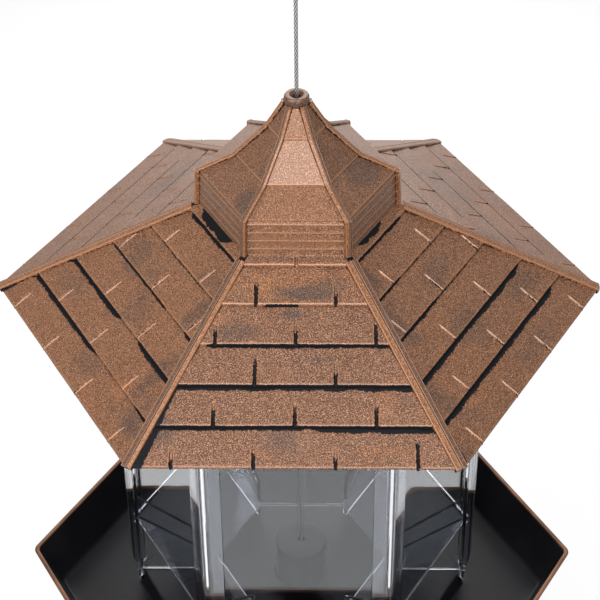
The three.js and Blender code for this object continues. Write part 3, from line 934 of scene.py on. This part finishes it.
# Thin dark and thick orange paint on the spire:
# (face, height, half height, middle across, half width across, strength)
SPIRE_SMOKE = (
    (1, 297, 6, 0.4, 0.9, 0.75), (1, 312, 8, -0.6, 0.6, 0.5), (5, 294, 5, 0.8, 0.5, 0.8),
    (5, 304, 6, 0.5, 0.6, 0.5), (5, 308, 8, -0.9, 0.5, 0.3), (2, 300, 8, 0, 0.8, 0.4),
    (4, 300, 8, 0, 0.8, 0.4),
)
SPIRE_WARM = (
    (1, 308, 9, 0.1, 0.8, 0.7), (1, 293, 5, -0.7, 0.5, 0.5), (5, 293, 4, -0.5, 0.7, 0.55),
    (5, 306, 7, -0.1, 0.6, 0.3), (1, 322, 6, 0, 1, 0.6),
)
SPIRE_WALL = 3.4
SPIRE_HOLE_R = 3.4
# Marks all over the cupola, all painted light: a painted highlight on the front faces, painted shade on
# the others and more on the side bands, and how orange each is tinted for the light on it
FRONT_SHINE = 0.17
SIDE_PAINTED_SHADE = 0.42
BAND_PAINTED_SHADE = 0.5
FRONT_LIT_TINT = 0.2
SIDE_SHADED_TINT = 0.75


def spire_r(z):
    """Corner radius of the spire at a height."""
    for (low_r, low_z), (high_r, high_z) in zip(SPIRE_HIP, SPIRE_HIP[1:]):
        if z <= high_z:
            return low_r + (high_r - low_r) * (z - low_z) / (high_z - low_z)
    return SPIRE_TOP_R


def band_profile():
    """The cupola's upright band of clapboards, each over the next, as (corner radius, z, edge mark for a
    painted highlight) and, where the brush missed, a gap mark after these."""
    profile = [(CUPOLA_R - 1.6, CUPOLA_BASE_Z + 0.6, 0.0, -0.5)]
    for low, high in zip(BOARD_EDGES, BOARD_EDGES[1:]):
        r = CUPOLA_R - 0.3 - (CUPOLA_R - CUPOLA_TOP_R) * (low - CUPOLA_BASE_Z) / 20
        profile += [
            (r - 0.65, low - 0.12, 0.0, 0.55), (r - 0.12, low - 0.04, 0.7), (r, low + 0.22, 0.8),
            (r - 0.12, low + 0.50, 0.5), (r - 0.35, low + 0.85, 0.0), (r - 0.62, high - 0.5, 0.0),
            (r - 0.70, high - 0.18, 0.0, 0.9),
        ]
    r = CUPOLA_TOP_R
    top = BOARD_EDGES[-1]
    profile += [
        (r - 0.70, top - 0.12, 0.0, 0.6), (r - 0.20, top, 0.8), (r - 0.12, top + 0.25, 0.8),
        (r - 0.35, top + 0.55, 0.3), (r - 0.75, top + 1.1, 0.0, 2.0), (r - 1.1, top + 1.9, 0.0, 3.0),
    ]
    return profile


def spire_profile():
    """Three facets, each a little proud of the one above it, with a painted highlight along its foot."""
    profile = []
    for (low_r, low_z), (high_r, high_z) in zip(SPIRE_HIP, SPIRE_HIP[1:]):
        start = 1.2 if low_z == CUPOLA_EAVE_Z else 0.0
        length = math.hypot(high_r - low_r, high_z - low_z)
        places = [start, start + 0.25, start + 0.5, start + 0.9, start + 1.4]
        places += list(np.arange(start + 2.4, length - 0.5, 1.1)) + [length - 0.3]
        for place in places:
            t = place / length
            rise = 0.55 * (1 - t) - (0.35 if place == start and start == 0 else 0.0)
            r = low_r + (high_r - low_r) * t + rise * 0.8
            z = low_z + (high_z - low_z) * t + rise * 0.5
            edge = 0.85 * math.exp(-((place - start - 0.35) / 0.40) ** 2)
            profile.append((r, z, edge * (0.55 if start else 1.0)))
    return profile


def cupola_spots(spots, x, y, z):
    """The strongest listed spot at a point of the cupola, found from its face and height."""
    angle = math.degrees(math.atan2(y, x)) + 120
    side = int(angle // 60) % SIDES
    across = (angle % 60 - 30) / 30
    strongest = 0.0
    for face, height, tall, middle, wide, strength in spots:
        if face == side:
            distance = math.hypot((z - height) / tall, (across - middle) / wide)
            strongest = max(strongest, strength * (1 - smoothstep(0.4, 1.3, distance)))
    return strongest


def side_band_shade(x, y, z):
    """Painted shade: the upright band is darker on the faces beside the front one."""
    beside_front = y < 0 and abs(x) > -y / 2 + 3
    return BAND_PAINTED_SHADE if beside_front and z < BOARD_EDGES[-1] + 2 else 0.0


def add_cupola(material):
    """The cupola: clapboard band, cove, three-facet spire and its hollow inside."""
    hollow = [
        (SPIRE_TOP_R - 0.5, SPIRE_TOP_Z - 0.1, 0.0), (SPIRE_HOLE_R, SPIRE_TOP_Z - 0.2, 0.0),
        (SPIRE_HOLE_R, SPIRE_TOP_Z - 8.0, 0.0),
    ]
    for z in np.linspace(SPIRE_TOP_Z - 8.5, CUPOLA_EAVE_Z, 14):
        hollow.append((max(SPIRE_HOLE_R, spire_r(z) - SPIRE_WALL), z - 1.8, 0.0))
    hollow += [
        (CUPOLA_R - 5.6, CUPOLA_EAVE_Z - 3.5, 0.0), (SPIGOT_R + 0.4, CUPOLA_EAVE_Z - 6.0, 0.0),
        (SPIGOT_R + 0.4, CUPOLA_BASE_Z + 1.0, 0.0),
    ]
    profile = band_profile() + spire_profile() + hollow
    side_steps = 16
    points = []
    gaps = []
    edges = []
    for r, z, edge, *bare in profile:
        ring = sharp_hexagon(r, z, side_steps)
        points += [(x, y, pz + 0.5 * shingle_wave(x, y, pz)) for x, y, pz in ring]
        gaps += (bare or [PAINTED]) * len(ring)
        edges += [edge] * len(ring)
    # Painted light on the cupola: a highlight on its front faces, and shade with a deeper orange on the
    # others
    front = [abs(x) < -y / 2 for x, y, z in points]
    edges = [max(edge, FRONT_SHINE * ahead) for edge, ahead in zip(edges, front)]
    smoke = [max(side_band_shade(*point), cupola_spots(SPIRE_SMOKE, *point)) for point in points]
    smoke = [max(dark, 0.0 if ahead else SIDE_PAINTED_SHADE) for dark, ahead in zip(smoke, front)]
    warm = [cupola_spots(SPIRE_WARM, *point) for point in points]
    face_light_tint = [FRONT_LIT_TINT if ahead else SIDE_SHADED_TINT for ahead in front]
    warm = [max(spot, everywhere) for spot, everywhere in zip(warm, face_light_tint)]
    shell = Pieces()
    shell.add(
        points, loft_faces(len(profile), side_steps * SIDES, closed=True),
        gap=gaps, edge=edges, smoke=smoke, warm=warm,
    )
    cupola = shell.build("cupola_shell")
    ribs = Pieces()
    top_z = SPIRE_TOP_Z + 1.2
    spire = [(spire_r(z) + 0.1, z) for z in np.linspace(top_z, CUPOLA_EAVE_Z, 50)]
    add_rib(ribs, spire, CUPOLA_RIB_WIDTH, CUPOLA_RIB_HEIGHT)
    band = []
    for z in np.linspace(CUPOLA_EAVE_Z + 0.9, CUPOLA_BASE_Z + 1.0, 12):
        lean = (CUPOLA_EAVE_Z - z) / (CUPOLA_EAVE_Z - CUPOLA_BASE_Z)
        band.append((CUPOLA_TOP_R + (CUPOLA_R - CUPOLA_TOP_R) * lean, z))
    add_rib(ribs, band, CUPOLA_RIB_WIDTH, CUPOLA_RIB_HEIGHT, bare_foot=False)
    rib_object = ribs.build("cupola_ribs")
    for obj in (cupola, rib_object):
        assign(obj, material)
        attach(obj, "roof")
    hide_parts("cupola")


def add_collar(material):
    """The rounded ring that the cable runs through."""
    foot = SPIRE_TOP_Z + 0.4
    top = foot + COLLAR_HEIGHT
    outline = rounded_outline(
        [
            (COLLAR_BORE_R, foot), (COLLAR_R - 0.1, foot), (COLLAR_R, top - 1.2), (COLLAR_R - 0.6, top),
            (COLLAR_BORE_R + 1.2, top), (COLLAR_BORE_R, top - 1.4),
        ],
        [0.3, 0.3, 0.9, 0.7, 0.6, 0.6], steps=5,
    )
    around = 48
    points = []
    edges = []
    for r, z in outline:
        for i in range(around):
            angle = 2 * math.pi * i / around
            uneven = 1 + 0.012 * noise.noise(Vector((math.cos(angle) * 2, math.sin(angle) * 2, z)))
            points.append((r * uneven * math.cos(angle), r * uneven * math.sin(angle), z))
            # Faint painted highlight round the collar's top
            edges.append(0.1 if z > top - 0.4 else 0.0)
    ring = Pieces()
    faces = loft_faces(len(outline), around, closed=True)
    ring.add(points, faces, gap=6.0, edge=edges, smoke=0.78, warm=1.0)
    collar = ring.build("cable_collar")
    assign(collar, material)
    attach(collar, "roof")
    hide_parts("collar_ring")


# ---------- tray ----------


def marked_outline(corners):
    """The rounded outline through corners of (radius, z, fillet, rounding, paint), with points less
    than 12 mm apart, each with the rounding and paint of the corner that it came from."""
    flat = rounded_outline([c[:2] for c in corners], [c[2] for c in corners])
    places = np.array([c[:2] for c in corners])
    marked = []
    for point in flat:
        nearest = int(np.argmin(np.hypot(*(places - np.array(point)).T)))
        marked.append((*point, *corners[nearest][3:]))
    outline = []
    for here, following in zip(marked, marked[1:] + marked[:1]):
        outline.append(here)
        parts = int(math.hypot(following[0] - here[0], following[1] - here[1]) // 6)
        for step in range(1, parts):
            t = step / parts
            outline.append(tuple(a * (1 - t) + b * t for a, b in zip(here, following)))
    return outline


def add_tray(material):
    """One moulded dish: rim bead, leaning walls, floor, raised platform, round hub, hollow below."""
    round_plan = 1 / COS30
    bore_r = BORE_R * round_plan
    hub_r = BOSS_R * round_plan
    inner_r = BOSS_R - BOSS_WALL
    rim_inner_r = TRAY_RIM_R - TRAY_WALL
    # corner radius, z, fillet, rounding of the plan's corners, copper paint
    corners = [
        (bore_r, BOSS_Z, 0.3, BORE_R, 0.0),
        (hub_r, BOSS_Z, 1.2, BOSS_R, 0.0),
        (hub_r, PLATFORM_Z, 1.5, BOSS_R, 0.0),
        (PLATFORM_R - 4, PLATFORM_Z, 0.5, 3.0, 0.0),
        (PLATFORM_R - 3, PLATFORM_Z + 0.01, 0.3, 3.0, 0.0),
        (PLATFORM_R - 0.6, PLATFORM_Z, 1.0, 3.0, 0.0),
        (PLATFORM_R + 0.4, TRAY_FLOOR, 1.5, 4.0, 0.0),
        (TRAY_FOOT_R - TRAY_WALL, TRAY_FLOOR, 3.5, 5.0, 0.0),
        (rim_inner_r - 0.2, TRAY_RIM_Z - 1.0, 0.4, 5.0, 0.35),
        (rim_inner_r, TRAY_RIM_Z, 0.5, 5.0, 1.0),
        (TRAY_RIM_R, TRAY_RIM_Z, 0.9, 5.5, 1.0),
        (TRAY_FOOT_R + 0.2, 0.4, 2.2, 5.5, 1.0),
        (TRAY_FOOT_R - 3, 0.0, 0.8, 5.5, 0.1),
        (PLATFORM_R - 4, 0.0, 0.8, 4.0, 0.0),
        (PLATFORM_R - 5, PLATFORM_Z - TRAY_FLOOR, 0.8, 4.0, 0.0),
        (inner_r * round_plan, PLATFORM_Z - TRAY_FLOOR, 1.2, inner_r, 0.0),
        (inner_r * round_plan, BOSS_Z - BOSS_WALL, 0.6, inner_r, 0.0),
        (bore_r, BOSS_Z - BOSS_WALL, 0.3, BORE_R, 0.0),
    ]
    outline = marked_outline(corners)
    points = []
    rim = []
    for corner_r, z, rounding, paint in outline:
        ring = hexagon(corner_r, z, min(rounding, corner_r * COS30))
        points += ring
        rim += [paint] * len(ring)
    per_ring = len(points) // len(outline)
    dish = Pieces()
    dish.add(points, loft_faces(len(outline), per_ring, closed=True), rim=rim)
    tray = dish.build("seed_tray")
    assign(tray, material)
    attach(tray, "base")
    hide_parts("tray")


# ---------- clear hopper ----------

POST_BEVEL = 0.45
SHEET_BEVEL = 0.35
METAL_BEVEL = 0.15
BEVEL_SEGMENTS = 4


def rounded_copy(node, name, width):
    """A copy of a CAD node with flat faces merged and every edge rounded."""
    obj = bpy.data.objects.new(name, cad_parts[node].data.copy())
    bpy.context.scene.collection.objects.link(obj)
    obj.data.materials.clear()
    work = bmesh.new()
    work.from_mesh(obj.data)
    bmesh.ops.remove_doubles(work, verts=work.verts, dist=0.01 * MM)
    bmesh.ops.dissolve_limit(
        work, angle_limit=math.radians(1), verts=work.verts, edges=work.edges, delimit=set(),
    )
    edges = [e for e in work.edges if len(e.link_faces) == 2 and e.calc_face_angle(0) > math.radians(20)]
    bmesh.ops.bevel(
        work, geom=edges, offset=width * MM, segments=BEVEL_SEGMENTS, affect="EDGES", clamp_overlap=True,
        profile=0.5,
    )
    bmesh.ops.recalc_face_normals(work, faces=work.faces)
    work.to_mesh(obj.data)
    work.free()
    tidy_mesh(obj, distance=0.005 * MM, sharp=math.radians(1))
    return obj


def add_copies(pieces, material):
    """Rounded copies of CAD nodes, from rows of (node, name, bevel width)."""
    for node, name, width in pieces:
        obj = rounded_copy(node, name, width)
        assign(obj, material)
        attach(obj, "base")
        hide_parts(node)


def add_hopper(material):
    """The posts, the windows and the funnel."""
    pieces = []
    for side in range(1, SIDES + 1):
        for kind, width in (("corner_post", POST_BEVEL), ("hopper_panel", SHEET_BEVEL)):
            pieces.append((f"{kind}_{side}", f"clear_{kind}_{side}", width))
    pieces.append(("seed_funnel", "clear_seed_funnel", SHEET_BEVEL))
    add_copies(pieces, material)


def add_metal_bits(material):
    """The washer and crimp below the hub. The loop's crimp keeps its CAD mesh."""
    pieces = (("stop_washer", "hub_washer", METAL_BEVEL), ("stop_ferrule", "hub_ferrule", METAL_BEVEL))
    add_copies(pieces, material)
    assign(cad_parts["loop_ferrule"], material)


# ---------- stage ----------


# name, place in the frame's metres, size in metres, power in watts
LIGHTS = (
    ("key", (-1.35, -1.5, 0.9), 1.0, 27),
    ("front", (0.05, -1.45, 1.40), 1.3, 38),
    ("back", (0.0, 2.2, 0.7), 1.8, 36),
)
FLOOR_DROP = 0.75
WORLD_STRENGTH = 0.43


def add_area_light(name, place, target, size, power):
    data = bpy.data.lights.new(name, "AREA")
    data.shape = "SQUARE"
    data.size = size
    data.energy = power
    light = bpy.data.objects.new(name, data)
    light.location = place
    direction = Vector(target) - Vector(place)
    light.rotation_euler = direction.to_track_quat("-Z", "Y").to_euler()
    bpy.context.scene.collection.objects.link(light)


def add_stage():
    floor_z = BASE_Z - FLOOR_DROP
    half = 12.0
    mesh = bpy.data.meshes.new("floor")
    mesh.from_pydata(
        [(-half, -half, floor_z), (half, -half, floor_z), (half, half, floor_z), (-half, half, floor_z)],
        [], [(0, 1, 2, 3)],
    )
    floor = bpy.data.objects.new("floor", mesh)
    bpy.context.scene.collection.objects.link(floor)
    s = Shader("pale_floor")
    cloud = s.noise(1.5, 2.0, 0.5)
    base = s.mix(cloud, colour(0.88, 0.88, 0.88), colour(0.91, 0.91, 0.91))
    shader = s.add("BsdfPrincipled", Base_Color=base, Roughness=0.9)
    assign(floor, s.finish(shader.outputs[0]))
    world = bpy.data.worlds.new("studio")
    world.use_nodes = True
    background = world.node_tree.nodes["Background"]
    background.inputs["Color"].default_value = colour(1.0, 1.0, 1.0)
    background.inputs["Strength"].default_value = WORLD_STRENGTH
    bpy.context.scene.world = world
    middle = (0, 0, BASE_Z + 0.2)
    for name, place, size, power in LIGHTS:
        add_area_light(name, place, middle, size, power)
    bpy.context.scene.view_settings.view_transform = "Standard"


add_camera()
add_cable(wire_rope())
copper = copper_paint()
add_roof(copper)
add_cupola(copper)
add_collar(copper)
add_tray(black_plastic())
add_hopper(clear_plastic())
add_metal_bits(crimp_metal())
add_stage()
